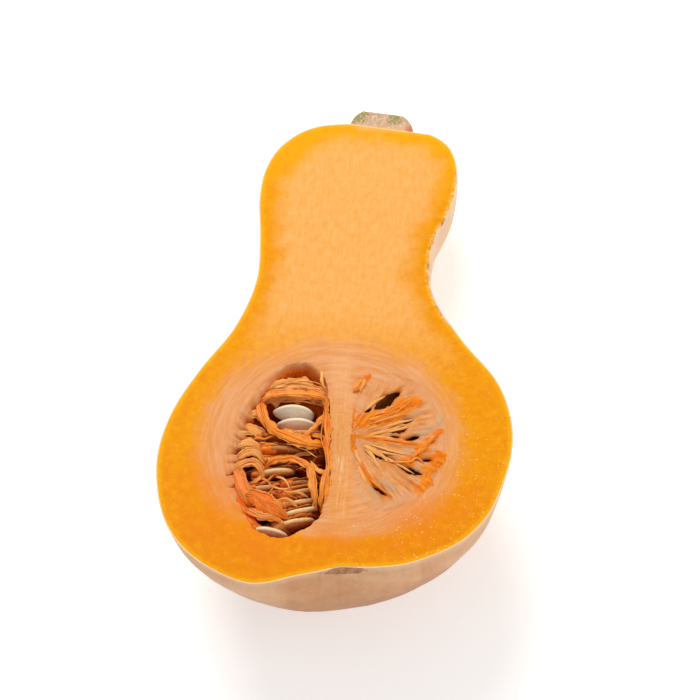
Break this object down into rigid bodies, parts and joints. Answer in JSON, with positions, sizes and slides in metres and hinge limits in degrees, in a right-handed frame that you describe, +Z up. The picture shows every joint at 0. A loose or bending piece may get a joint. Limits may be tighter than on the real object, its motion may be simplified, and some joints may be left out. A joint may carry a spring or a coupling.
{
  "type": "butternut squash half",
  "caption": "Butternut squash cut in half lengthwise, lying on its rind with the cut face, seeds and stringy pulp showing.",
  "frame": {"origin": "on the surface the half lies on, under the middle of its box", "axes": "+Z up, +Y from the blossom end to the stem, +X to the right as seen from the blossom end; the cut face is tipped 10.9 degrees about X, its stem end lower"},
  "size_m": [0.1286, 0.2156, 0.07],
  "materials": {
    "flesh": "moist cut flesh, orange, inside a thin beige rind",
    "stem_wood": "dry corky stem, cut through",
    "pulp": "wet stringy pulp",
    "seed_coat": "slippery cream seed coat"
  },
  "bodies": {
    "root": {"squash_half": "flesh", "stem": "stem_wood", "pulp_veil": "pulp", "pulp_drape": "pulp", "pulp_flap": "pulp", "pulp_cord": "pulp", "pulp_wall": "pulp", "seed_01": "seed_coat", "seed_02": "seed_coat", "seed_03": "seed_coat", "seed_04": "seed_coat", "seed_05": "seed_coat", "seed_06": "seed_coat", "seed_07": "seed_coat", "seed_08": "seed_coat", "seed_09": "seed_coat", "seed_10": "seed_coat", "seed_11": "seed_coat", "seed_12": "seed_coat", "seed_13": "seed_coat", "seed_14": "seed_coat", "seed_15": "seed_coat", "seed_16": "seed_coat", "seed_17": "seed_coat", "seed_18": "seed_coat", "seed_19": "seed_coat", "seed_20": "seed_coat", "seed_21": "seed_coat", "seed_22": "seed_coat", "seed_23": "seed_coat", "seed_24": "seed_coat", "seed_25": "seed_coat", "seed_26": "seed_coat", "seed_27": "seed_coat", "seed_28": "seed_coat", "seed_29": "seed_coat", "seed_30": "seed_coat", "seed_31": "seed_coat"}
  },
  "joints": []
}
